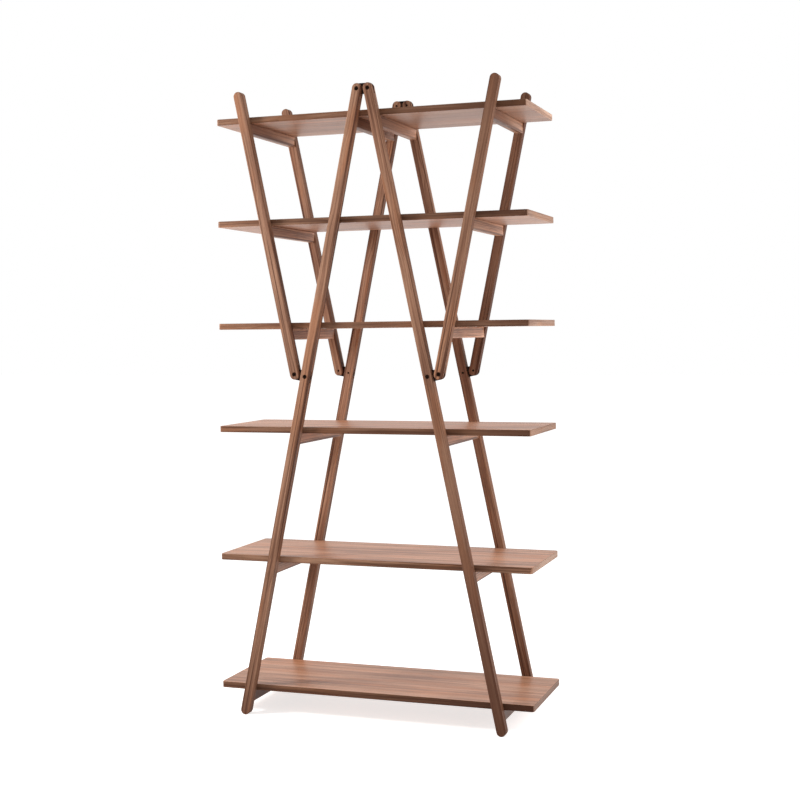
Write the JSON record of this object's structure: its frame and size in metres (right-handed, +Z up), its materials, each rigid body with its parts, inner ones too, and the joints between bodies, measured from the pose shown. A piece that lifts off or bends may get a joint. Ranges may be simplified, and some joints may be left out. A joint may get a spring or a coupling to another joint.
{
  "type": "folding bookstand rack",
  "caption": "Folding wooden bookcase: crossed front and back frames of tilted uprights on black double-pivot hinges, with crossbars that carry loose shelves.",
  "frame": {"origin": "on the floor, under the middle of the rack", "axes": "+Z up, +X along the shelves to the right as seen from the front, +Y from front to back"},
  "size_m": [1, 0.386, 1.9235],
  "materials": {
    "upright": "oiled walnut, satin, grain along the length",
    "crossbar": "oiled walnut, satin, grain along the length",
    "shelf": "oiled walnut, satin, grain along the shelf",
    "dowel": "plain beech, fluted",
    "hinge_link": "satin black",
    "hinge_bolt": "black oxide, satin"
  },
  "bodies": {
    "top_hinge": {"top_link_front": "hinge_link", "top_link_back": "hinge_link"},
    "left_legs": {"leg_front_left": "upright", "leg_back_left": "upright", "leg_bar_left_1": "crossbar", "leg_bar_left_2": "crossbar", "leg_bar_left_3": "crossbar", "leg_bar_left_6": "crossbar", "top_bolts_left": "hinge_bolt", "leg_bolts_left": "hinge_bolt", "leg_dowels_left": "dowel"},
    "left_mid_links": {"mid_link_front_left": "hinge_link", "mid_link_back_left": "hinge_link"},
    "left_struts": {"strut_front_left": "upright", "strut_back_left": "upright", "strut_bar_left_4": "crossbar", "strut_bar_left_5": "crossbar", "strut_bar_left_6": "crossbar", "strut_bolts_left": "hinge_bolt", "strut_dowels_left": "dowel"},
    "right_legs": {"leg_front_right": "upright", "leg_back_right": "upright", "leg_bar_right_1": "crossbar", "leg_bar_right_2": "crossbar", "leg_bar_right_3": "crossbar", "leg_bar_right_6": "crossbar", "top_bolts_right": "hinge_bolt", "leg_bolts_right": "hinge_bolt", "leg_dowels_right": "dowel"},
    "right_mid_links": {"mid_link_front_right": "hinge_link", "mid_link_back_right": "hinge_link"},
    "right_struts": {"strut_front_right": "upright", "strut_back_right": "upright", "strut_bar_right_4": "crossbar", "strut_bar_right_5": "crossbar", "strut_bar_right_6": "crossbar", "strut_bolts_right": "hinge_bolt", "strut_dowels_right": "dowel"},
    "shelf_1": {"shelf_1": "shelf"},
    "shelf_2": {"shelf_2": "shelf"},
    "shelf_3": {"shelf_3": "shelf"},
    "shelf_4": {"shelf_4": "shelf"},
    "shelf_5": {"shelf_5": "shelf"},
    "shelf_6": {"shelf_6": "shelf"}
  },
  "joints": [
    {"name": "fold_left", "type": "hinge", "parent": "top_hinge", "child": "left_legs", "pos_m": [-0.01775, 0, 1.90703], "axis": [0, -1, 0], "range_deg": [0, 11.65]},
    {"name": "fold_right", "type": "hinge", "parent": "top_hinge", "child": "right_legs", "pos_m": [0.01775, 0, 1.90703], "axis": [0, 1, 0], "range_deg": [0, 11.65]},
    {"name": "link_turn_left", "type": "hinge", "parent": "left_legs", "child": "left_mid_links", "pos_m": [-0.19631, 0, 1.041], "axis": [0, 1, 0], "range_deg": [0, 3]},
    {"name": "strut_fold_left", "type": "hinge", "parent": "left_mid_links", "child": "left_struts", "pos_m": [-0.23108, 0, 1.04817], "axis": [0, 1, 0], "range_deg": [0, 20.5]},
    {"name": "link_turn_right", "type": "hinge", "parent": "right_legs", "child": "right_mid_links", "pos_m": [0.19631, 0, 1.041], "axis": [0, -1, 0], "range_deg": [0, 3]},
    {"name": "strut_fold_right", "type": "hinge", "parent": "right_mid_links", "child": "right_struts", "pos_m": [0.23108, 0, 1.04817], "axis": [0, -1, 0], "range_deg": [0, 20.5]},
    {"name": "shelf_1_slide", "type": "slide", "parent": "top_hinge", "child": "shelf_1", "axis": [1, 0, 0], "range_m": [0, 1.05]},
    {"name": "shelf_2_slide", "type": "slide", "parent": "top_hinge", "child": "shelf_2", "axis": [1, 0, 0], "range_m": [0, 1.05]},
    {"name": "shelf_3_slide", "type": "slide", "parent": "top_hinge", "child": "shelf_3", "axis": [1, 0, 0], "range_m": [0, 1.05]},
    {"name": "shelf_4_slide", "type": "slide", "parent": "top_hinge", "child": "shelf_4", "axis": [1, 0, 0], "range_m": [0, 1.05]},
    {"name": "shelf_5_slide", "type": "slide", "parent": "top_hinge", "child": "shelf_5", "axis": [1, 0, 0], "range_m": [0, 1.05]},
    {"name": "shelf_6_slide", "type": "slide", "parent": "top_hinge", "child": "shelf_6", "axis": [1, 0, 0], "range_m": [0, 1.05]}
  ],
  "couplings": [
    {"joint": "fold_right", "follows": "fold_left", "ratio": 1},
    {"joint": "link_turn_left", "follows": "fold_left", "ratio": 0.25751},
    {"joint": "strut_fold_left", "follows": "fold_left", "ratio": 1.7597},
    {"joint": "link_turn_right", "follows": "fold_left", "ratio": 0.25751},
    {"joint": "strut_fold_right", "follows": "fold_left", "ratio": 1.7597}
  ]
}
